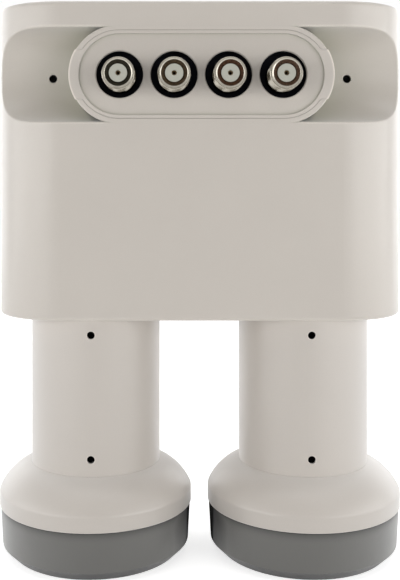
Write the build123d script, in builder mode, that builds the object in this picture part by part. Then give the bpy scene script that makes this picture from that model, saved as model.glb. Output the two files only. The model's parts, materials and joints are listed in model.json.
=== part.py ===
# Twin-feed satellite LNB with four output ports, standing on its two feed caps.
# +Z is up, -Y is the side with the ports, and the origin lies midway between the two feeds
# on the plane that the caps stand on. All sizes are in millimetres.

import os

from build123d import *

os.makedirs("parts", exist_ok=True)

# Feeds: two necks of the standard clamp size
feed_spacing = 65.0
neck_radius = 20.0
neck_wall = 2.2
neck_top = 78.0
neck_collar_radius = 14.7
neck_collar_height = 2.2
flare_radius = 29.85
flare_top = 27.7
flare_crease = 19.4
shoulder_radius = 15.0
crease_round = 1.5
neck_drain_heights = (32.8, 69.4)
neck_drain_radius = 1.15
drain_lip = 0.7
drain_seat_radius = 2.4

# Feed caps
seam_height = 14.8
seam_chamfer = 0.2
cap_top_radius = 29.55
cap_foot_radius = 28.9
cap_foot_height = 3.1
cap_face_radius = 25.7
cap_wall = 1.7
cap_round = 0.6
spigot_radius = 27.3
spigot_wall = 1.5
spigot_top = 18.3
seal_bottom = 16.0
seal_height = 1.6
seal_depth = 0.8

# Body: two half shells that meet on an upright plane
body_width = 124.0
body_front = 21.5
body_back = 23.5
body_bottom = 73.8
body_top = 167.6
body_corner = 20.5
body_round = 1.2
wall = 2.2
neck_gap = 0.15
lip_depth = 2.5
lip_wall = 1.2
lip_gap = 0.1
lip_root = 2.0
lip_bottom = 86.0

# Half-round channel across the front, with the port pod in its middle
port_height = 146.05
port_pitch = 16.0
port_count = 4
channel_radius = 13.85
channel_round = 0.5
channel_drain_x = 45.1
channel_drain_radius = 1.25
pod_length = 77.4
pod_height = 29.0
pod_chamfer = 0.3
pod_depth = 15.4
pod_rim = 1.55
pod_wall = 3.0

# Connector plate in the pod
plate_depth = 3.2
plate_gap = 0.05
plate_face_length = 71.9
plate_face_height = 23.8
plate_face_depth = 0.6
plate_pocket_depth = 1.2
well_radius = 6.9
well_chamfer = 0.2
tab_height = 14.5
tab_proud = 0.25
tab_gap = 0.06

# F ports, with distances measured forward from the feed plane
port_drop = 0.4
tip_front = 29.5
thread_radius = 4.7625
thread_back = 15.0
relief_radius = 4.4
tip_lead = 1.2
tip_radius = 4.42
tip_rim_radius = 3.8
dish_depth = 0.9
shell_bore = 2.62
collar_radius = 5.8
collar_front = 13.4
collar_back = 12.5
stub_radius = 4.55
stub_back = 6.0
insulator_radius = 2.6
insulator_sunk = 0.35
pin_hole_radius = 0.75
pin_hole_depth = 1.3
contact_radius = 0.92
contact_bore = 0.45
contact_bore_depth = 8.0

# Rubber gasket behind the connector plate
gasket_floor = 14.0
gasket_gap = 0.25
gasket_bore_gap = 0.1

# Chassis casting: feed horns, circuit tray and port block
tube_radius = 14.5
tube_top = 112.0
guide_radius = 8.75
guide_top = 108.0
guide_bottom = 42.0
horn_mouth = 4.0
horn_rim_radius = 24.5
horn_rim_top = 15.0
horn_neck_radius = 16.5
horn_neck_height = 27.0
horn_neck_top = 31.0
horn_wall = 2.0
horn_step_height = 8.0
horn_throat_radius = 12.0
horn_throat_height = 30.0
tray_width = 98.0
tray_height = 76.0
tray_middle = 122.0
tray_front = 9.0
tray_floor = 11.0
tray_back = 17.5
tray_wall = 2.2
block_length = 69.0
block_height = 20.0
block_depth = 3.5
boss_radius = 7.0
coax_radius = 2.75
screw_boss_radius = 3.0
screw_spacing_x = 41.0
screw_spacing_z = 62.0
screw_radius = 1.0
screw_hole_gap = 0.05
screw_head_radius = 2.2
screw_head_height = 1.3
screw_depth = 5.0

# Circuit board, lid and probes
board_front = 11.2
board_depth = 1.6
board_margin = 1.0
board_hole_gap = 0.4
chip_size = 7.0
chip_depth = 1.2
lid_gasket_depth = 0.5
lid_depth = 1.5
probe_radius = 0.6
probe_reach = 3.0
probe_height = 100.0
side_probe_height = 92.0
side_probe_offset = 12.5
side_probe_reach = 3.5
bush_radius = 1.55
bush_depth = 1.8
bush_gap = 0.05

feed_x = {"left": -feed_spacing / 2, "right": feed_spacing / 2}
port_axis_height = port_height - port_drop
port_x = [port_pitch * (i - (port_count - 1) / 2) for i in range(port_count)]
body_depth = body_front + body_back
channel_floor = body_front - channel_radius
body_middle = (body_back - body_front) / 2
lid_front = tray_back + lid_gasket_depth
lid_back = lid_front + lid_depth
board_back = board_front + board_depth


def upright(y):
    """Upright plane at this Y, seen from the port side: X to the right and Z up."""
    return Plane((0, y, 0), x_dir=(1, 0, 0), z_dir=(0, -1, 0))


def port_plane(front):
    """Upright plane centred on the pod and its wells, this far in front of the feeds."""
    return Plane((0, -front, port_height), x_dir=(1, 0, 0), z_dir=(0, -1, 0))


def tray_plane(y):
    """Upright plane centred on the circuit tray."""
    return Plane((0, y, tray_middle), x_dir=(1, 0, 0), z_dir=(0, -1, 0))


def feed_plane(x):
    """Upright plane through a feed axis, on which radius and height are drawn."""
    return Plane((x, 0, 0), x_dir=(1, 0, 0), z_dir=(0, -1, 0))


def port_section(x):
    """Level plane through a port axis, on which radius and distance forward are drawn."""
    return Plane((x, 0, port_axis_height), x_dir=(1, 0, 0), z_dir=(0, 0, -1))


def save(piece, name):
    """Label a finished piece and write it under its own name."""
    piece.label = name
    export_step(piece, f"parts/{name}.step")


def body_block(inset):
    """Rounded block of the closed body, shrunk by the inset all round."""
    with BuildPart() as block:
        with BuildSketch(Plane((0, body_middle, body_bottom + inset))):
            RectangleRounded(body_width - 2 * inset, body_depth - 2 * inset, body_corner - inset)
        extrude(amount=body_top - body_bottom - 2 * inset)
        if inset == 0:
            levels = block.faces().filter_by(Axis.Z)
            fillet(levels.edges(), body_round)
    return block.part


# Openings for the two necks in the floor of the body
with BuildPart() as neck_openings:
    with BuildSketch(Plane.XY.offset(body_bottom)):
        with Locations([(x, 0) for x in feed_x.values()]):
            Circle(neck_radius + neck_gap)
    extrude(amount=neck_top + neck_gap - body_bottom)

# Room inside the front half: the hollow of the body less the lining of the channel
with BuildPart() as front_room:
    add(body_block(wall))
    with BuildSketch(Plane.YZ):
        with Locations((-body_front, port_height)):
            Circle(channel_radius + wall)
    extrude(amount=body_width, both=True, mode=Mode.SUBTRACT)

# Port pod: a slot-shaped block, bevelled along its two free ends
with BuildPart() as port_pod:
    with BuildSketch(port_plane(body_front)):
        SlotOverall(pod_length, pod_height)
    extrude(amount=-pod_depth)
    chamfer(port_pod.edges().filter_by(GeomType.CIRCLE).group_by(Axis.Y)[0], pod_chamfer)


def on_channel_rim(edge):
    """True for the outline that the channel cuts in the outside of the body."""
    box = edge.bounding_box()
    return max(box.max.Z - port_height, port_height - box.min.Z) < channel_radius + wall / 2


# Front half of the body
with BuildPart() as main_housing:
    add(body_block(0))
    add(front_room.part, mode=Mode.SUBTRACT)
    with BuildSketch(Plane.YZ):
        with Locations((-body_front, port_height)):
            Circle(channel_radius)
    extrude(amount=body_width, both=True, mode=Mode.SUBTRACT)
    fillet(main_housing.edges().filter_by(on_channel_rim), channel_round)
    add(port_pod.part)
    with BuildSketch(port_plane(body_front)):
        SlotOverall(pod_length - 2 * pod_rim, pod_height - 2 * pod_rim)
        with Locations((-pod_length / 2, 0), (pod_length / 2, 0)):
            Rectangle(6 * pod_rim, tab_height + 2 * tab_gap)
    extrude(amount=-plate_depth, mode=Mode.SUBTRACT)
    with BuildSketch(port_plane(body_front)):
        SlotOverall(pod_length - 2 * pod_wall, pod_height - 2 * pod_wall)
        with Locations((-channel_drain_x, 0), (channel_drain_x, 0)):
            Circle(channel_drain_radius)
    extrude(amount=-body_front, mode=Mode.SUBTRACT)
    with BuildSketch(port_plane(channel_floor - drain_lip)):
        with Locations((-channel_drain_x, 0), (channel_drain_x, 0)):
            Circle(drain_seat_radius)
    extrude(amount=-wall, mode=Mode.SUBTRACT)
    add(neck_openings.part, mode=Mode.SUBTRACT)
    split(bisect_by=upright(body_middle), keep=Keep.TOP)
save(main_housing.part, "main_housing")

# Rear half of the body, with a lip that enters the front half at the sides and top
with BuildPart() as rear_cover:
    add(body_block(0))
    add(body_block(wall), mode=Mode.SUBTRACT)
    add(neck_openings.part, mode=Mode.SUBTRACT)
    split(bisect_by=upright(body_middle), keep=Keep.BOTTOM)
    hollow_width = body_width - 2 * wall
    hollow_height = body_top - wall - lip_bottom
    lip_bore_width = hollow_width - 2 * (lip_gap + lip_wall)
    lip_bore_height = hollow_height - lip_gap - lip_wall
    upward = (Align.CENTER, Align.MIN)
    with BuildSketch(Plane((0, body_middle, lip_bottom), x_dir=(1, 0, 0), z_dir=(0, -1, 0))):
        Rectangle(hollow_width - 2 * lip_gap, hollow_height - lip_gap, align=upward)
        Rectangle(lip_bore_width, lip_bore_height, align=upward, mode=Mode.SUBTRACT)
    extrude(amount=lip_depth)
    with BuildSketch(Plane((0, body_middle, lip_bottom), x_dir=(1, 0, 0), z_dir=(0, -1, 0))):
        Rectangle(hollow_width + wall, hollow_height + wall / 2, align=upward)
        Rectangle(lip_bore_width, lip_bore_height, align=upward, mode=Mode.SUBTRACT)
    extrude(amount=-lip_root)
save(rear_cover.part, "rear_cover")

# Plate that fills the pod: raised rim, end tabs that snap through the pod wall, four wells
with BuildPart() as connector_plate:
    plate_inset = pod_rim + plate_gap
    with BuildSketch(port_plane(body_front)):
        SlotOverall(pod_length - 2 * plate_inset, pod_height - 2 * plate_inset)
    extrude(amount=-plate_depth)
    with BuildSketch(port_plane(body_front)):
        SlotOverall(pod_length + 2 * tab_proud, pod_height + 2 * tab_proud)
        Rectangle(2 * pod_length, tab_height, mode=Mode.INTERSECT)
    extrude(amount=-plate_depth)
    with BuildSketch(port_plane(body_front)):
        SlotOverall(plate_face_length, plate_face_height)
    extrude(amount=-plate_face_depth, mode=Mode.SUBTRACT)
    with BuildSketch(port_plane(body_front - plate_depth)):
        SlotOverall(pod_length - 2 * pod_wall, pod_height - 2 * pod_wall)
    extrude(amount=plate_pocket_depth, mode=Mode.SUBTRACT)
    with BuildSketch(port_plane(body_front)):
        with Locations([(x, 0) for x in port_x]):
            Circle(well_radius)
    extrude(amount=-plate_depth, mode=Mode.SUBTRACT)
    face_y = plate_face_depth - body_front
    mouths = connector_plate.edges().filter_by(lambda edge: edge.is_closed)
    chamfer(mouths.filter_by_position(Axis.Y, face_y, face_y), well_chamfer)
save(connector_plate.part, "connector_plate")

# Rubber gasket with four wells, between the plate and the port block, closed round the shells
with BuildPart() as port_gasket:
    gasket_front = body_front - plate_depth + plate_pocket_depth
    with BuildSketch(port_plane(gasket_front)):
        inset = pod_wall + gasket_gap
        SlotOverall(pod_length - 2 * inset, pod_height - 2 * inset)
    extrude(amount=collar_back - gasket_front)
    with BuildSketch(port_plane(gasket_front)):
        with Locations([(x, 0) for x in port_x]):
            Circle(well_radius)
    extrude(amount=gasket_floor - gasket_front, mode=Mode.SUBTRACT)
    with BuildSketch(port_plane(gasket_front)):
        with Locations([(x, -port_drop) for x in port_x]):
            Circle(relief_radius + gasket_bore_gap)
    extrude(amount=collar_back - gasket_front, mode=Mode.SUBTRACT)
    with BuildSketch(port_plane(collar_front)):
        with Locations([(x, -port_drop) for x in port_x]):
            Circle(collar_radius + gasket_bore_gap)
    extrude(amount=collar_back - collar_front, mode=Mode.SUBTRACT)
save(port_gasket.part, "port_gasket")

# F ports: turned shell, insulator and centre contact, each a revolved section
for number, x in enumerate(port_x, start=1):
    port_axis = Axis((x, 0, port_axis_height), (0, -1, 0))

    with BuildPart() as f_shell:
        with BuildSketch(port_section(x)):
            with BuildLine():
                Polyline(
                    (shell_bore, stub_back),
                    (stub_radius, stub_back),
                    (stub_radius, collar_back),
                    (collar_radius, collar_back),
                    (collar_radius, collar_front),
                    (relief_radius, collar_front),
                    (relief_radius, thread_back),
                    (thread_radius, thread_back),
                    (thread_radius, tip_front - tip_lead),
                    (tip_radius, tip_front),
                    (tip_rim_radius, tip_front),
                    (shell_bore, tip_front - dish_depth),
                    close=True,
                )
            make_face()
        revolve(axis=port_axis)
    save(f_shell.part, f"f_shell_{number}")

    insulator_front = tip_front - insulator_sunk
    contact_front = insulator_front - pin_hole_depth
    with BuildPart() as f_insulator:
        with BuildSketch(port_section(x)):
            with BuildLine():
                Polyline(
                    (pin_hole_radius, insulator_front),
                    (insulator_radius, insulator_front),
                    (insulator_radius, stub_back),
                    (contact_radius, stub_back),
                    (contact_radius, contact_front),
                    (pin_hole_radius, contact_front),
                    close=True,
                )
            make_face()
        revolve(axis=port_axis)
    save(f_insulator.part, f"f_insulator_{number}")

    with BuildPart() as f_contact:
        with BuildSketch(port_section(x)):
            with BuildLine():
                Polyline(
                    (0, -board_front),
                    (contact_radius, -board_front),
                    (contact_radius, contact_front),
                    (contact_bore, contact_front),
                    (contact_bore, contact_front - contact_bore_depth),
                    (0, contact_front - contact_bore_depth),
                    close=True,
                )
            make_face()
        revolve(axis=port_axis)
    save(f_contact.part, f"f_contact_{number}")

# Necks and caps, one set for each feed
for side, x in feed_x.items():
    feed_axis = Axis((x, 0, 0), (0, 0, 1))

    # Sleeve with a domed flare that creases into a short upright band
    with BuildPart() as neck_sleeve:
        bore_radius = neck_radius - neck_wall
        mouth_radius = flare_radius - neck_wall - 2 * neck_gap
        with BuildSketch(feed_plane(x)):
            with BuildLine():
                Polyline((mouth_radius, flare_crease), (mouth_radius, seam_height),
                         (flare_radius, seam_height), (flare_radius, flare_crease))
                RadiusArc((flare_radius, flare_crease), (neck_radius, flare_top), -shoulder_radius)
                Polyline(
                    (neck_radius, flare_top),
                    (neck_radius, neck_top),
                    (neck_collar_radius, neck_top),
                    (neck_collar_radius, neck_top - neck_collar_height),
                    (bore_radius, neck_top - neck_collar_height),
                    (bore_radius, flare_top - neck_wall),
                )
                Line((bore_radius, flare_top - neck_wall), (mouth_radius, flare_crease))
            make_face()
        revolve(axis=feed_axis)
        rims = neck_sleeve.edges().filter_by(GeomType.CIRCLE).group_by(SortBy.RADIUS)[-1].sort_by(Axis.Z)
        chamfer(rims[0], seam_chamfer)
        rims = neck_sleeve.edges().filter_by(GeomType.CIRCLE).group_by(SortBy.RADIUS)[-1].sort_by(Axis.Z)
        fillet(rims[-1], crease_round)
        with BuildSketch(feed_plane(x).offset(neck_radius)):
            with Locations([(0, height) for height in neck_drain_heights]):
                Circle(neck_drain_radius)
        extrude(amount=-2 * neck_wall, mode=Mode.SUBTRACT)
        with BuildSketch(feed_plane(x).offset(neck_radius - drain_lip)):
            with Locations([(0, height) for height in neck_drain_heights]):
                Circle(drain_seat_radius)
        extrude(amount=-2 * neck_wall, mode=Mode.SUBTRACT)
    save(neck_sleeve.part, f"neck_sleeve_{side}")

    # Cap with a spigot that enters the flare and carries the seal in a groove
    with BuildPart() as feed_cap:
        spigot_bore = spigot_radius - spigot_wall
        with BuildSketch(feed_plane(x)):
            with BuildLine():
                Polyline(
                    (0, 0),
                    (cap_face_radius, 0),
                    (cap_foot_radius, cap_foot_height),
                    (cap_top_radius, seam_height),
                    (spigot_radius, seam_height),
                    (spigot_radius, seal_bottom),
                    (spigot_radius - seal_depth, seal_bottom),
                    (spigot_radius - seal_depth, seal_bottom + seal_height),
                    (spigot_radius, seal_bottom + seal_height),
                    (spigot_radius, spigot_top),
                    (spigot_bore, spigot_top),
                    (spigot_bore, seam_height - cap_wall),
                    (cap_top_radius - cap_wall, seam_height - cap_wall),
                    (cap_foot_radius - cap_wall, cap_foot_height + cap_wall / 2),
                    (cap_face_radius - cap_wall / 2, cap_wall),
                    (0, cap_wall),
                    close=True,
                )
            make_face()
        revolve(axis=feed_axis)
        rings = feed_cap.edges().filter_by(GeomType.CIRCLE).group_by(Axis.Z)
        fillet(rings[0], cap_round)
        rings = feed_cap.edges().filter_by(GeomType.CIRCLE)
        fillet(rings.filter_by(lambda edge: abs(edge.radius - cap_foot_radius) < 0.01), cap_round)
        rings = feed_cap.edges().filter_by(GeomType.CIRCLE).group_by(SortBy.RADIUS)
        chamfer(rings[-1], seam_chamfer)
    save(feed_cap.part, f"feed_cap_{side}")

    # Rubber ring in the groove of the spigot
    with BuildPart() as cap_seal:
        with BuildSketch(feed_plane(x)):
            with Locations((spigot_radius - seal_depth, seal_bottom)):
                Rectangle(seal_depth, seal_height, align=(Align.MIN, Align.MIN))
        revolve(axis=feed_axis)
    save(cap_seal.part, f"cap_seal_{side}")

# One casting: two feed horns with their waveguides, the circuit tray and the port block
with BuildPart() as chassis_casting:
    for x in feed_x.values():
        with BuildSketch(feed_plane(x)):
            with BuildLine():
                Polyline(
                    (0, horn_mouth),
                    (horn_rim_radius, horn_mouth),
                    (horn_rim_radius, horn_rim_top),
                    (horn_neck_radius, horn_neck_height),
                    (tube_radius, horn_neck_top),
                    (tube_radius, tube_top),
                    (0, tube_top),
                    close=True,
                )
            make_face()
        revolve(axis=Axis((x, 0, 0), (0, 0, 1)))
    with BuildSketch(tray_plane(tray_front)):
        Rectangle(tray_width, tray_height)
    extrude(amount=tray_front - tray_back)
    with BuildSketch(tray_plane(tray_floor)):
        Rectangle(tray_width - 2 * tray_wall, tray_height - 2 * tray_wall)
        with GridLocations(screw_spacing_x, screw_spacing_z, 3, 2):
            Circle(screw_boss_radius, mode=Mode.SUBTRACT)
    extrude(amount=tray_floor - tray_back, mode=Mode.SUBTRACT)
    with BuildSketch(port_plane(collar_back)):
        SlotOverall(block_length, block_height)
    extrude(amount=-block_depth)
    with BuildSketch(port_plane(collar_back)):
        with Locations([(x, -port_drop) for x in port_x]):
            Circle(boss_radius)
    extrude(amount=-collar_back - tray_front)
    for x in feed_x.values():
        with BuildSketch(feed_plane(x)):
            with BuildLine():
                Polyline(
                    (0, horn_mouth),
                    (horn_rim_radius - horn_wall, horn_mouth),
                    (horn_rim_radius - horn_wall, horn_step_height),
                    (horn_throat_radius, horn_throat_height),
                    (guide_radius, guide_bottom),
                    (guide_radius, guide_top),
                    (0, guide_top),
                    close=True,
                )
            make_face()
        revolve(axis=Axis((x, 0, 0), (0, 0, 1)), mode=Mode.SUBTRACT)
        inward = -side_probe_offset if x > 0 else side_probe_offset
        with BuildSketch(upright(tray_floor)):
            with Locations((x, probe_height), (x + inward, side_probe_height)):
                Circle(bush_radius + bush_gap)
        extrude(amount=tray_floor + bush_radius, mode=Mode.SUBTRACT)
        with BuildSketch(Plane.YZ.offset(x)):
            with Locations((0, side_probe_height)):
                Circle(bush_radius + bush_gap)
        extrude(amount=inward, mode=Mode.SUBTRACT)
    with BuildSketch(port_plane(collar_back)):
        with Locations([(x, -port_drop) for x in port_x]):
            Circle(coax_radius)
    extrude(amount=-collar_back - tray_floor, mode=Mode.SUBTRACT)
    with BuildSketch(port_plane(collar_back)):
        with Locations([(x, -port_drop) for x in port_x]):
            Circle(stub_radius + screw_hole_gap)
    extrude(amount=stub_back - collar_back, mode=Mode.SUBTRACT)
    with BuildSketch(tray_plane(tray_back)):
        with GridLocations(screw_spacing_x, screw_spacing_z, 3, 2):
            Circle(screw_radius + screw_hole_gap)
    extrude(amount=screw_depth, mode=Mode.SUBTRACT)
save(chassis_casting.part, "chassis_casting")

# Circuit board on the floor of the tray, clear of the screw bosses
with BuildPart() as circuit_board:
    with BuildSketch(tray_plane(board_back)):
        inset = tray_wall + board_margin
        Rectangle(tray_width - 2 * inset, tray_height - 2 * inset)
        with GridLocations(screw_spacing_x, screw_spacing_z, 3, 2):
            Circle(screw_boss_radius + board_hole_gap, mode=Mode.SUBTRACT)
    extrude(amount=board_depth)
save(circuit_board.part, "circuit_board")

with BuildPart() as board_chips:
    with BuildSketch(tray_plane(board_back + chip_depth)):
        with GridLocations(4 * chip_size, 2 * chip_size, 3, 2):
            Rectangle(chip_size, chip_size)
    extrude(amount=chip_depth)
save(board_chips.part, "board_chips")

# Probes: one straight across each waveguide and one bent in from its side
with BuildPart() as probe_pins:
    for x in feed_x.values():
        inward = -side_probe_offset if x > 0 else side_probe_offset
        with BuildSketch(upright(board_front)):
            with Locations((x, probe_height)):
                Circle(probe_radius)
        extrude(amount=board_front - probe_reach)
        with BuildSketch(upright(board_front)):
            with Locations((x + inward, side_probe_height)):
                Circle(probe_radius)
        extrude(amount=board_front + probe_radius)
        with BuildSketch(Plane.YZ.offset(x + inward)):
            with Locations((0, side_probe_height)):
                Circle(probe_radius)
        extrude(amount=-inward + (side_probe_reach if inward > 0 else -side_probe_reach))
save(probe_pins.part, "probe_pins")

with BuildPart() as probe_bushes:
    for x in feed_x.values():
        inward = -side_probe_offset if x > 0 else side_probe_offset
        with BuildSketch(upright(tray_floor)):
            with Locations((x, probe_height), (x + inward, side_probe_height)):
                Circle(bush_radius)
                Circle(probe_radius + bush_gap, mode=Mode.SUBTRACT)
        extrude(amount=bush_depth)
save(probe_bushes.part, "probe_bushes")

# Lid of the tray, with its gasket and screws
with BuildPart() as lid_gasket:
    with BuildSketch(tray_plane(lid_front)):
        Rectangle(tray_width, tray_height)
        Rectangle(tray_width - 2 * tray_wall, tray_height - 2 * tray_wall, mode=Mode.SUBTRACT)
    extrude(amount=lid_gasket_depth)
save(lid_gasket.part, "lid_gasket")

with BuildPart() as shield_lid:
    with BuildSketch(tray_plane(lid_back)):
        Rectangle(tray_width, tray_height)
        with GridLocations(screw_spacing_x, screw_spacing_z, 3, 2):
            Circle(screw_radius + screw_hole_gap, mode=Mode.SUBTRACT)
    extrude(amount=lid_depth)
save(shield_lid.part, "shield_lid")

with BuildPart() as lid_screws:
    with BuildSketch(tray_plane(lid_back + screw_head_height)):
        with GridLocations(screw_spacing_x, screw_spacing_z, 3, 2):
            Circle(screw_head_radius)
    extrude(amount=screw_head_height)
    with BuildSketch(tray_plane(lid_back)):
        with GridLocations(screw_spacing_x, screw_spacing_z, 3, 2):
            Circle(screw_radius)
    extrude(amount=lid_back - tray_back + screw_depth - 1)
save(lid_screws.part, "lid_screws")
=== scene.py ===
"""Studio scene for a twin-feed satellite LNB with four output ports.

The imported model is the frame. This script gives its nodes procedural materials, puts threaded
shells in place of the plain port shells, and adds floor, light and camera. All sizes are in metres.
"""

import json
import math

import bmesh
import bpy
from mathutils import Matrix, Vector


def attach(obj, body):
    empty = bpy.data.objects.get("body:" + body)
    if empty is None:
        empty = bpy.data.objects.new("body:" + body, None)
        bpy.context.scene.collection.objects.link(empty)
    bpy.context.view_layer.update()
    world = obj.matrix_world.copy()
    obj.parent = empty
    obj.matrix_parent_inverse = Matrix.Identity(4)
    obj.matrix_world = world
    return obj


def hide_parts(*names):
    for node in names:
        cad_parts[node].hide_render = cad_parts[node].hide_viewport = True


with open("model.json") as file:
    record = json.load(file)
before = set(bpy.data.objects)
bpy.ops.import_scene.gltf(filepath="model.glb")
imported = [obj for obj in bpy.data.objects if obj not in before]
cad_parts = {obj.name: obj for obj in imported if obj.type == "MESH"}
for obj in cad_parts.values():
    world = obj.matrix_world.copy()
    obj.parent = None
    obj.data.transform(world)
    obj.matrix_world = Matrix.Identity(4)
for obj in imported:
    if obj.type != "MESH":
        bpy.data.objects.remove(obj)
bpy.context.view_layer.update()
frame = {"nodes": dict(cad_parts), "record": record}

# Camera: pinhole of the photograph, in pixels of its 400 x 580 frame
IMAGE_WIDTH = 400
IMAGE_HEIGHT = 580
FOCAL_PIXELS = 930.0
AXIS_PIXEL = (171.2, 174.2)
CAMERA_PLACE = (-0.00886, -0.2933, 0.1168)
SENSOR = 36.0
NEAR_CLIP = 0.01

# Output ports: distances forward are measured from the feed plane towards -Y
PORT_HEIGHT = 0.14565
PORT_PITCH = 0.016
PORT_COUNT = 4
THREAD_RADIUS = 0.0047625
THREAD_PITCH = 0.0254 / 32
THREAD_DEPTH = 0.00042
THREAD_START = 0.0150
THREAD_RUNOUT = 0.0008
RELIEF_RADIUS = 0.0044
TIP_FRONT = 0.0295
TIP_LEAD = 0.0012
TIP_RADIUS = 0.00442
TIP_RIM_RADIUS = 0.0038
DISH_DEPTH = 0.0009
SHELL_BORE = 0.00262
COLLAR_RADIUS = 0.0058
COLLAR_FRONT = 0.0134
COLLAR_BACK = 0.0125
STUB_RADIUS = 0.00455
STUB_BACK = 0.0060
COLUMNS = 64
ROWS_PER_PITCH = 8
SHARP_ANGLE = math.radians(40)
NICKEL_INDEX = 0
BORE_INDEX = 1

# Colours, linear
HOUSING = (0.563, 0.518, 0.466)
SLEEVE = (0.536, 0.487, 0.435)
CAP = (0.089, 0.087, 0.078)
NICKEL = (0.36, 0.335, 0.285)
# Insides of the four port shells, dark brown as painted shade and reflection, darkest in the first
PORT_BORE_SHADES = (
    (0.019, 0.016, 0.010),
    (0.045, 0.029, 0.016),
    (0.050, 0.024, 0.013),
    (0.060, 0.034, 0.021),
)
INSULATOR = (0.43, 0.425, 0.365)
# Contact deep in its hole, darkened as painted shade
SHADED_BRASS = (0.12, 0.08, 0.04)
RUBBER = (0.004, 0.004, 0.008)
CASTING = (0.40, 0.41, 0.42)
BOARD = (0.015, 0.110, 0.040)
CHIP = (0.015, 0.015, 0.016)
STEEL = (0.55, 0.55, 0.56)
WHITE = (1.0, 1.0, 1.0)

# Settings that the materials share
PLASTIC_IOR = 1.58
PROBE_SAMPLES = 8
BEVEL_SAMPLES = 6
NOISE_MIDDLE = (0.3, 0.7)
SPECK_MOST = 0.06
ROUGHNESS_SPREAD = 0.05
GRAINS_PER_PATCH = 8

# Painted light and sheen of the plastics: the colour of the painted shade and the hollows where it lies,
# the sheen and gloss as one amount or as one for unshaded and one for shaded spots, and where and how
# strongly edges get a painted highlight. A place holds the reach, whether the piece is looked at alone, the
# open shares where the value starts and is full, and its most if that is not 1. The caps also get painted
# shade under the rim of the flare (a far level, the level of the rim, the most) and beside the gap between
# them (half its width, the reach).
HOUSING_PAINTED_LIGHT_AND_SHEEN = {
    "grime": (0.450, 0.432, 0.365),
    "hollows": (0.015, True, 1.0, 0.5),
    "coats": {"Sheen Weight": 0.4, "Sheen Roughness": 0.6},
    "edges": (0.0012, True, 0.86, 0.55),
    "highlight_gain": 1.5,
}
SLEEVE_PAINTED_LIGHT_AND_SHEEN = {
    "grime": (0.01, 0.01, 0.01),
    "hollows": (0.004, True, 0.6, 0.3),
    "coats": {"Sheen Weight": 0.8, "Sheen Roughness": 0.7, "Specular IOR Level": (0.5, 0.0)},
    "edges": (0.0005, True, 0.92, 0.55),
    "highlight_gain": 1.3,
}
CAP_PAINTED_LIGHT_AND_SHEEN = {
    "grime": (0.030, 0.030, 0.031),
    "hollows": (0.006, False, 0.68, 0.52, 0.78),
    "rim": (0.0116, 0.0148, 0.55),
    "gap": (0.0040, 0.0040),
    "coats": {"Sheen Weight": (0.8, 0.0), "Sheen Roughness": 0.55, "Specular IOR Level": (0.5, 0.0)},
}

# Place behind narrow gaps, where the casting gets painted shade
NARROW_GAPS = (0.006, False, 0.95, 0.5)

# Front of the body, by where it starts and is full along Y, and its lower edge, which gets a painted
# highlight, by a level above it, its own level and how strong the painted highlight is at most
BODY_FRONT = (-0.018, -0.020)
LOWER_EDGE_HIGHLIGHT = (0.0751, 0.0738, 0.55)

# Port pod of the housing, a slot along X, with painted shade in its plate's seam and in the wedges beside it
POD_HEIGHT = 0.14605
POD_HALF_LENGTH = 0.0242
POD_RIM = (0.0141, 0.0145)
TAB_END = (0.00725, 0.00775)
SEAM_RADIUS = 0.012925
SEAM_HALF_WIDTH = 0.00012
SEAM_MOST = 0.7
SEAM_PAINTED_SHADE = (0.169, 0.135, 0.099)
WEDGE_PLACE = (0.003, True, 0.36, 0.06)
WEDGE_PAINTED_SHADE = (0.056, 0.045, 0.033)


def scaled(colour, factor):
    """The colour made lighter or darker, as the four numbers that a socket takes."""
    return (*[min(1.0, part * factor) for part in colour], 1.0)


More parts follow.
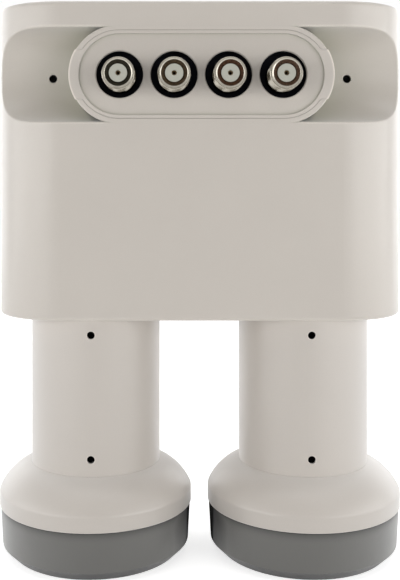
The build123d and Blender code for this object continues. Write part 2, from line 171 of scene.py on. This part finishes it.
class Surface:
    """A node material with the few nodes that all the finishes share."""

    def __init__(self, name):
        self.material = bpy.data.materials.new(name)
        self.material.use_nodes = True
        self.nodes = self.material.node_tree.nodes
        self.links = self.material.node_tree.links
        self.shader = self.nodes["Principled BSDF"]
        self.place = self.nodes.new("ShaderNodeTexCoord").outputs["Object"]

    def join(self, source, target):
        """Link from an output to an input."""
        self.links.new(source, target)

    def noise(self, scale, detail=3.0, stretch=None):
        """Noise value from 0 to 1 with features about 1/scale metres across."""
        texture = self.nodes.new("ShaderNodeTexNoise")
        texture.inputs["Scale"].default_value = scale
        texture.inputs["Detail"].default_value = detail
        if stretch:
            mapping = self.nodes.new("ShaderNodeMapping")
            mapping.inputs["Scale"].default_value = stretch
            self.join(self.place, mapping.inputs["Vector"])
            self.join(mapping.outputs["Vector"], texture.inputs["Vector"])
        else:
            self.join(self.place, texture.inputs["Vector"])
        return texture.outputs["Fac"]

    def ranged(self, value, start, end, low, high):
        """The value with the range from start to end carried to the range from low to high."""
        node = self.nodes.new("ShaderNodeMapRange")
        for socket, number in (("From Min", start), ("From Max", end), ("To Min", low), ("To Max", high)):
            node.inputs[socket].default_value = number
        self.join(value, node.inputs["Value"])
        return node.outputs["Result"]

    def spread(self, value, low, high):
        """The middle part of a noise value, spread over the range from low to high."""
        return self.ranged(value, *NOISE_MIDDLE, low, high)

    def calculated(self, operation, first, second):
        """Result of an operation on a value and a number or another value."""
        node = self.nodes.new("ShaderNodeMath")
        node.operation = operation
        self.join(first, node.inputs[0])
        if isinstance(second, float):
            node.inputs[1].default_value = second
        else:
            self.join(second, node.inputs[1])
        return node.outputs["Value"]

    def unsigned(self, value):
        """The value without its sign."""
        return self.calculated("MAXIMUM", value, self.calculated("MULTIPLY", value, -1.0))

    def along(self, axis):
        """Place along one axis of the frame."""
        parts = self.nodes.new("ShaderNodeSeparateXYZ")
        self.join(self.place, parts.inputs["Vector"])
        return parts.outputs[axis]

    def towards_level(self, far, level, most):
        """Value that grows from 0 at a far level to most at the level, ever more steeply."""
        ramp = self.ranged(self.along("Z"), far, level, 0.0, 1.0)
        return self.calculated("MULTIPLY", self.calculated("POWER", ramp, 2.0), most)

    def beside_gap(self, half_width, reach):
        """Value that grows to 1 at the gap between the left and right halves of the part."""
        return self.ranged(self.unsigned(self.along("X")), half_width + reach, half_width, 0.0, 1.0)

    def pod_distances(self):
        """Height above or below the middle of the port pod, and distance from its middle line."""
        upward = self.unsigned(self.calculated("SUBTRACT", self.along("Z"), POD_HEIGHT))
        aside = self.calculated("SUBTRACT", self.unsigned(self.along("X")), POD_HALF_LENGTH)
        aside = self.calculated("MAXIMUM", aside, 0.0)
        upward_square = self.calculated("MULTIPLY", upward, upward)
        square = self.calculated("ADD", self.calculated("MULTIPLY", aside, aside), upward_square)
        return upward, self.calculated("POWER", square, 0.5)

    def at_front(self):
        """Value that is 1 on the front of the body and 0 behind it."""
        return self.ranged(self.along("Y"), *BODY_FRONT, 0.0, 1.0)

    def beside_pod(self):
        """Value that is 1 on the front of the body, but 0 on the port pod and behind the front."""
        distance = self.pod_distances()[1]
        outside = self.ranged(distance, *POD_RIM, 0.0, 1.0)
        return self.calculated("MULTIPLY", self.at_front(), outside)

    def plate_seam(self):
        """Value that grows to its most on the seam round the pod's plate, above and below the end tabs."""
        upward, distance = self.pod_distances()
        aside = self.unsigned(self.calculated("SUBTRACT", distance, SEAM_RADIUS))
        seam = self.ranged(aside, SEAM_HALF_WIDTH, 0.0, 0.0, SEAM_MOST)
        seam = self.calculated("MULTIPLY", seam, self.ranged(upward, *TAB_END, 0.0, 1.0))
        return self.calculated("MULTIPLY", seam, self.at_front())

    def mix(self, factor, first, second):
        """Colour between two colours or colour outputs, chosen by a value from 0 to 1."""
        mixer = self.nodes.new("ShaderNodeMix")
        mixer.data_type = "RGBA"
        self.join(factor, mixer.inputs["Factor"])
        for socket, colour in ((mixer.inputs[6], first), (mixer.inputs[7], second)):
            if isinstance(colour, tuple):
                socket.default_value = colour
            else:
                self.join(colour, socket)
        return mixer.outputs[2]

    def mottled(self, colour, scale, amount):
        """The colour with soft lighter and darker patches."""
        patches = self.spread(self.noise(scale), 0.0, 1.0)
        return self.mix(patches, scaled(colour, 1 - amount), scaled(colour, 1 + amount))

    def closeness(self, reach, alone, start, full, most=1.0, inward=False):
        """Value for how far surfaces within reach close a point in or, looking inward, how near an edge is.

        The open share of the view is 1 on a free surface. The value is 0 down to the share start and grows to
        most at the share full. Alone leaves the other pieces out.
        """
        probe = self.nodes.new("ShaderNodeAmbientOcclusion")
        probe.samples = PROBE_SAMPLES
        probe.inside = inward
        probe.only_local = alone
        probe.inputs["Distance"].default_value = reach
        return self.ranged(probe.outputs["AO"], start, full, 0.0, most)

    def relief(self, height, depth, edge=0.0):
        """Fine relief for the shader, on edges softened over a small radius."""
        bump = self.nodes.new("ShaderNodeBump")
        bump.inputs["Distance"].default_value = depth
        self.join(height, bump.inputs["Height"])
        if edge:
            bevel = self.nodes.new("ShaderNodeBevel")
            bevel.samples = BEVEL_SAMPLES
            bevel.inputs["Radius"].default_value = edge
            self.join(bevel.outputs["Normal"], bump.inputs["Normal"])
        self.join(bump.outputs["Normal"], self.shader.inputs["Normal"])

    def colour(self, output):
        """Base colour of the shader."""
        self.join(output, self.shader.inputs["Base Color"])

    def rough(self, value, low, high):
        """Roughness of the shader, from low to high by a noise value."""
        self.join(self.spread(value, low, high), self.shader.inputs["Roughness"])


def moulded_plastic(name, colour, roughness, grain, grain_depth, edge, painted_light_and_sheen=None, with_pod=False):
    """Satin moulded plastic: faint patches, fine grain and softened edges.

    Painted light and sheen add painted shade in hollows, a thin coat of dust, and painted highlights on
    edges.
    The plastic with the port pod has painted shade in the pod's seam and wedges, and painted highlights only
    on the edges of the body's front.
    """
    surface = Surface(name)
    fine = surface.noise(grain, detail=2.0)
    tint = surface.mottled(colour, scale=45.0, amount=0.012)
    specks = surface.spread(fine, 0.0, SPECK_MOST)
    tint = surface.mix(specks, tint, scaled(colour, factor=0.6))
    if painted_light_and_sheen:
        # Painted shade in hollows, where surfaces close in; gloss and sheen that vary lessen with it
        hollows = surface.closeness(*painted_light_and_sheen["hollows"])
        # The caps get painted shade under the flare's rim and beside the gap between them
        if "rim" in painted_light_and_sheen:
            hollows = surface.calculated("MAXIMUM", hollows, surface.towards_level(*painted_light_and_sheen["rim"]))
            hollows = surface.calculated("MAXIMUM", hollows, surface.beside_gap(*painted_light_and_sheen["gap"]))
        tint = surface.mix(hollows, tint, (*painted_light_and_sheen["grime"], 1.0))
        for coat, amount in painted_light_and_sheen["coats"].items():
            socket = surface.shader.inputs[coat]
            if isinstance(amount, tuple):
                surface.join(surface.ranged(hollows, 0.0, 1.0, *amount), socket)
            else:
                socket.default_value = amount
    if with_pod:
        # Painted shade in the wedges beside the pod and in the seam round its plate
        tint = surface.mix(surface.closeness(*WEDGE_PLACE), tint, (*WEDGE_PAINTED_SHADE, 1.0))
        tint = surface.mix(surface.plate_seam(), tint, (*SEAM_PAINTED_SHADE, 1.0))
    # Painted highlights along the edges; on the housing also along its lower edge, and only on the body's
    # front, not on the pod
    if painted_light_and_sheen and "edges" in painted_light_and_sheen:
        edges = surface.closeness(*painted_light_and_sheen["edges"], inward=True)
        if with_pod:
            edges = surface.calculated("MAXIMUM", edges, surface.towards_level(*LOWER_EDGE_HIGHLIGHT))
            edges = surface.calculated("MULTIPLY", edges, surface.beside_pod())
        tint = surface.mix(edges, tint, scaled(colour, painted_light_and_sheen["highlight_gain"]))
    surface.colour(tint)
    patches = surface.noise(grain / GRAINS_PER_PATCH)
    surface.rough(patches, roughness - ROUGHNESS_SPREAD, roughness + ROUGHNESS_SPREAD)
    surface.relief(fine, grain_depth, edge)
    surface.shader.inputs["IOR"].default_value = PLASTIC_IOR
    return surface.material


def plated_metal(name, colour, low, high):
    """Turned and plated metal with fine rings and faint stains."""
    surface = Surface(name)
    rings = surface.noise(scale=3000.0, detail=2.0, stretch=(0.15, 1.0, 0.15))
    surface.colour(surface.mottled(colour, scale=900.0, amount=0.10))
    surface.rough(rings, low, high)
    surface.relief(rings, depth=0.000004)
    surface.shader.inputs["Metallic"].default_value = 1.0
    return surface.material


def cast_metal(name, colour):
    """Dull cast metal with an uneven skin, with painted shade where it lies behind a narrow gap."""
    surface = Surface(name)
    skin = surface.noise(scale=1200.0, detail=4.0)
    bare = surface.mottled(colour, scale=150.0, amount=0.06)
    surface.colour(surface.mix(surface.closeness(*NARROW_GAPS), bare, scaled(colour, factor=0.02)))
    surface.rough(skin, low=0.42, high=0.60)
    surface.relief(skin, depth=0.00003, edge=0.0002)
    surface.shader.inputs["Metallic"].default_value = 1.0
    return surface.material


def dull_metal(name, colour):
    """Metal inside a port, painted dark brown as shade and reflection, with stains."""
    surface = Surface(name)
    stain = surface.noise(scale=1800.0, detail=4.0)
    stains = surface.spread(stain, 0.0, 1.0)
    surface.colour(surface.mix(stains, scaled(colour, factor=0.45), scaled(colour, factor=1.6)))
    surface.rough(stain, low=0.45, high=0.65)
    surface.relief(stain, depth=0.00002)
    surface.shader.inputs["Specular IOR Level"].default_value = 0.06
    return surface.material


def soft_rubber(name, colour):
    """Black rubber with a fine dusty grain."""
    surface = Surface(name)
    fine = surface.noise(scale=2500.0)
    surface.colour(surface.mottled(colour, scale=300.0, amount=0.25))
    surface.rough(fine, low=0.60, high=0.80)
    surface.relief(fine, depth=0.00001)
    surface.shader.inputs["Specular IOR Level"].default_value = 0.15
    return surface.material


def printed_board(name, colour):
    """Green lacquered board with a net of slightly raised tracks."""
    surface = Surface(name)
    tracks = surface.nodes.new("ShaderNodeTexBrick")
    tracks.inputs["Scale"].default_value = 180.0
    tracks.inputs["Mortar Size"].default_value = 0.04
    surface.join(surface.place, tracks.inputs["Vector"])
    raised = scaled(colour, factor=1.8)
    surface.colour(surface.mix(tracks.outputs["Fac"], (*colour, 1.0), raised))
    surface.rough(surface.noise(scale=400.0), low=0.25, high=0.40)
    surface.relief(tracks.outputs["Fac"], depth=0.00002)
    return surface.material


# Finishes: the plastics with their roughness, grain, depth of grain and radius of softened edges, and the
# plated metals with their least and most roughness
materials = {
    "housing": moulded_plastic(
        "housing", HOUSING, 0.34, 2600.0, 0.000012, 0.00025, painted_light_and_sheen=HOUSING_PAINTED_LIGHT_AND_SHEEN, with_pod=True),
    "sleeve": moulded_plastic("sleeve", SLEEVE, 0.34, 2600.0, 0.000012, 0.00025, painted_light_and_sheen=SLEEVE_PAINTED_LIGHT_AND_SHEEN),
    "cap": moulded_plastic("cap", CAP, 0.42, 2200.0, 0.000020, 0.00025, painted_light_and_sheen=CAP_PAINTED_LIGHT_AND_SHEEN),
    "nickel": plated_metal("nickel", NICKEL, 0.14, 0.26),
    "insulator": moulded_plastic("insulator", INSULATOR, 0.40, 3000.0, 0.000006, 0.0),
    "brass": plated_metal("brass", SHADED_BRASS, 0.25, 0.40),
    "rubber": soft_rubber("rubber", RUBBER),
    "casting": cast_metal("casting", CASTING),
    "board": printed_board("board", BOARD),
    "chip": moulded_plastic("chip", CHIP, 0.55, 2000.0, 0.000010, 0.0001),
    "steel": plated_metal("steel", STEEL, 0.28, 0.42),
}
# Each port bore has its own painted shade and reflection
port_bores = [dull_metal(f"port_bore_{number}", bore_shade) for number, bore_shade in enumerate(PORT_BORE_SHADES, 1)]

# The neck sleeves have a finish of their own; every other node has that of its slot
OWN_FINISH = {"neck_sleeve_left": "sleeve", "neck_sleeve_right": "sleeve"}
for subpart in frame["record"]["subparts"]:
    finish = OWN_FINISH.get(subpart["node"], subpart["material_slot"])
    for slot in frame["nodes"][subpart["node"]].material_slots:
        slot.material = materials[finish]


def thread_reach(forward, turn):
    """Radius of the threaded part at a distance forward and a share of a turn."""
    phase = (forward - THREAD_START) / THREAD_PITCH - turn
    depth = THREAD_DEPTH * (0.5 - 0.5 * math.cos(2 * math.pi * phase))
    depth *= min(1.0, (forward - THREAD_START) / THREAD_RUNOUT)
    into_lead = max(0.0, forward - (TIP_FRONT - TIP_LEAD)) / TIP_LEAD
    lead = THREAD_RADIUS - (THREAD_RADIUS - TIP_RADIUS) * into_lead
    return min(THREAD_RADIUS - depth, lead)


def shell_rings():
    """Rings of the port shell from the back of the bore round to the dish: radius, forward, threaded."""
    rings = [
        (SHELL_BORE, STUB_BACK, False),
        (STUB_RADIUS, STUB_BACK, False),
        (STUB_RADIUS, COLLAR_BACK, False),
        (COLLAR_RADIUS, COLLAR_BACK, False),
        (COLLAR_RADIUS, COLLAR_FRONT, False),
        (RELIEF_RADIUS, COLLAR_FRONT, False),
        (RELIEF_RADIUS, THREAD_START, False),
    ]
    length = TIP_FRONT - THREAD_START
    count = round(length / THREAD_PITCH * ROWS_PER_PITCH)
    for row in range(count + 1):
        rings.append((THREAD_RADIUS, THREAD_START + length * row / count, True))
    rings.append((TIP_RIM_RADIUS, TIP_FRONT, False))
    rings.append((SHELL_BORE, TIP_FRONT - DISH_DEPTH, False))
    return rings


def threaded_shell(name, x, bore):
    """Mesh of one port shell with its helical thread, a closed skin of revolved rings."""
    mesh = bpy.data.meshes.new(name)
    skin = bmesh.new()
    rows = []
    for radius, forward, threaded in shell_rings():
        row = []
        for column in range(COLUMNS):
            turn = column / COLUMNS
            reach = thread_reach(forward, turn) if threaded else radius
            angle = 2 * math.pi * turn
            corner = (x + reach * math.cos(angle), -forward, PORT_HEIGHT + reach * math.sin(angle))
            row.append(skin.verts.new(corner))
        rows.append(row)
    bore_start = len(rows) - 2
    for index, row in enumerate(rows):
        following = rows[(index + 1) % len(rows)]
        for column in range(COLUMNS):
            beside = (column + 1) % COLUMNS
            face = skin.faces.new((row[column], row[beside], following[beside], following[column]))
            face.smooth = True
            face.material_index = BORE_INDEX if index >= bore_start else NICKEL_INDEX
    bmesh.ops.recalc_face_normals(skin, faces=skin.faces)
    skin.to_mesh(mesh)
    skin.free()
    mesh.set_sharp_from_angle(angle=SHARP_ANGLE)
    mesh.materials.append(materials["nickel"])
    mesh.materials.append(bore)
    shell = bpy.data.objects.new(name, mesh)
    bpy.context.scene.collection.objects.link(shell)
    return shell


for number in range(1, PORT_COUNT + 1):
    port_x = PORT_PITCH * (number - (PORT_COUNT + 1) / 2)
    shell = threaded_shell(f"port_shell_{number}", port_x, port_bores[number - 1])
    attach(shell, "root")
    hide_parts(f"f_shell_{number}")


def seen_directly(nodes, links):
    """Value that is 1 for rays from the camera and for what gloss or glass shows of them."""
    path = nodes.new("ShaderNodeLightPath")
    first = nodes.new("ShaderNodeMath")
    first.operation = "MAXIMUM"
    links.new(path.outputs["Is Camera Ray"], first.inputs[0])
    links.new(path.outputs["Is Glossy Ray"], first.inputs[1])
    second = nodes.new("ShaderNodeMath")
    second.operation = "MAXIMUM"
    links.new(first.outputs["Value"], second.inputs[0])
    links.new(path.outputs["Is Transmission Ray"], second.inputs[1])
    return second.outputs["Value"]


# Floor: pale and matt, with a lift for direct rays that leaves the shadow in place
FLOOR_HALF = 3.0
FLOOR_DROP = 0.0001
FLOOR_COLOUR = (0.82, 0.82, 0.82)
FLOOR_ROUGHNESS = 0.9
FLOOR_LIFT = 0.70

floor_mesh = bpy.data.meshes.new("floor")
floor_corners = [
    (-FLOOR_HALF, -FLOOR_HALF, -FLOOR_DROP),
    (FLOOR_HALF, -FLOOR_HALF, -FLOOR_DROP),
    (FLOOR_HALF, FLOOR_HALF, -FLOOR_DROP),
    (-FLOOR_HALF, FLOOR_HALF, -FLOOR_DROP),
]
floor_mesh.from_pydata(floor_corners, [], [(0, 1, 2, 3)])
floor = bpy.data.objects.new("floor", floor_mesh)
bpy.context.scene.collection.objects.link(floor)
floor_surface = Surface("floor")
floor_surface.colour(floor_surface.mottled(FLOOR_COLOUR, scale=4.0, amount=0.01))
floor_surface.shader.inputs["Roughness"].default_value = FLOOR_ROUGHNESS
floor_surface.shader.inputs["Specular IOR Level"].default_value = 0.0
floor_surface.shader.inputs["Emission Color"].default_value = (*WHITE, 1.0)
lift = floor_surface.nodes.new("ShaderNodeMath")
lift.operation = "MULTIPLY"
lift.inputs[1].default_value = FLOOR_LIFT
floor_surface.join(seen_directly(floor_surface.nodes, floor_surface.links), lift.inputs[0])
floor_surface.join(lift.outputs["Value"], floor_surface.shader.inputs["Emission Strength"])
floor_mesh.materials.append(floor_surface.material)

# World: white where it is seen, and for other rays a fill that is stronger from behind than from the front.
# The turn holds the headings along Y between which it grows.
FILL_FRONT = 0.15
FILL_BACK = 0.55
FILL_TURN = (-0.4, 0.6)
SEEN_LEVEL = 1.0

world = bpy.data.worlds.new("studio")
bpy.context.scene.world = world
world.use_nodes = True
world_nodes = world.node_tree.nodes
world_links = world.node_tree.links
sky = world_nodes["Background"]
sky.inputs["Color"].default_value = (*WHITE, 1.0)
heading = world_nodes.new("ShaderNodeSeparateXYZ")
world_links.new(world_nodes.new("ShaderNodeTexCoord").outputs["Generated"], heading.inputs["Vector"])
fill = world_nodes.new("ShaderNodeMapRange")
fill.interpolation_type = "SMOOTHSTEP"
fill.inputs["From Min"].default_value = FILL_TURN[0]
fill.inputs["From Max"].default_value = FILL_TURN[1]
fill.inputs["To Min"].default_value = FILL_FRONT
fill.inputs["To Max"].default_value = FILL_BACK
world_links.new(heading.outputs["Y"], fill.inputs["Value"])
level = world_nodes.new("ShaderNodeMapRange")
level.inputs["To Max"].default_value = SEEN_LEVEL
world_links.new(seen_directly(world_nodes, world_links), level.inputs["Value"])
world_links.new(fill.outputs["Result"], level.inputs["To Min"])
world_links.new(level.outputs["Result"], sky.inputs["Strength"])

# Softboxes: place, power in watts, width and height
TARGET = Vector((0.0, 0.0, 0.10))
SOFTBOXES = {
    "left_box": ((-0.544, -0.30, 0.17), 2.4, 1.0, 0.30),
    "right_box": ((0.544, -0.30, 0.17), 2.7, 1.0, 0.30),
    "left_rim": ((-0.50, 0.48, 0.22), 1.1, 0.55, 0.42),
    "right_rim": ((0.50, 0.48, 0.22), 1.1, 0.55, 0.42),
    "top_box": ((0.0, 0.05, 0.90), 2.4, 0.9, 0.9),
}
for name, (place, power, width, height) in SOFTBOXES.items():
    lamp = bpy.data.lights.new(name, "AREA")
    lamp.shape = "RECTANGLE"
    lamp.size = width
    lamp.size_y = height
    lamp.energy = power
    box = bpy.data.objects.new(name, lamp)
    box.location = place
    box.rotation_euler = (TARGET - Vector(place)).to_track_quat("-Z", "Y").to_euler()
    bpy.context.scene.collection.objects.link(box)

# Camera, level and looking along +Y
lens = bpy.data.cameras.new("camera")
lens.sensor_width = SENSOR
lens.lens = FOCAL_PIXELS * SENSOR / IMAGE_HEIGHT
lens.shift_x = (IMAGE_WIDTH / 2 - AXIS_PIXEL[0]) / IMAGE_HEIGHT
lens.shift_y = (AXIS_PIXEL[1] - IMAGE_HEIGHT / 2) / IMAGE_HEIGHT
lens.clip_start = NEAR_CLIP
camera = bpy.data.objects.new("camera", lens)
camera.location = CAMERA_PLACE
camera.rotation_euler = (math.pi / 2, 0.0, 0.0)
bpy.context.scene.collection.objects.link(camera)
bpy.context.scene.camera = camera
bpy.context.scene.view_settings.view_transform = "Standard"
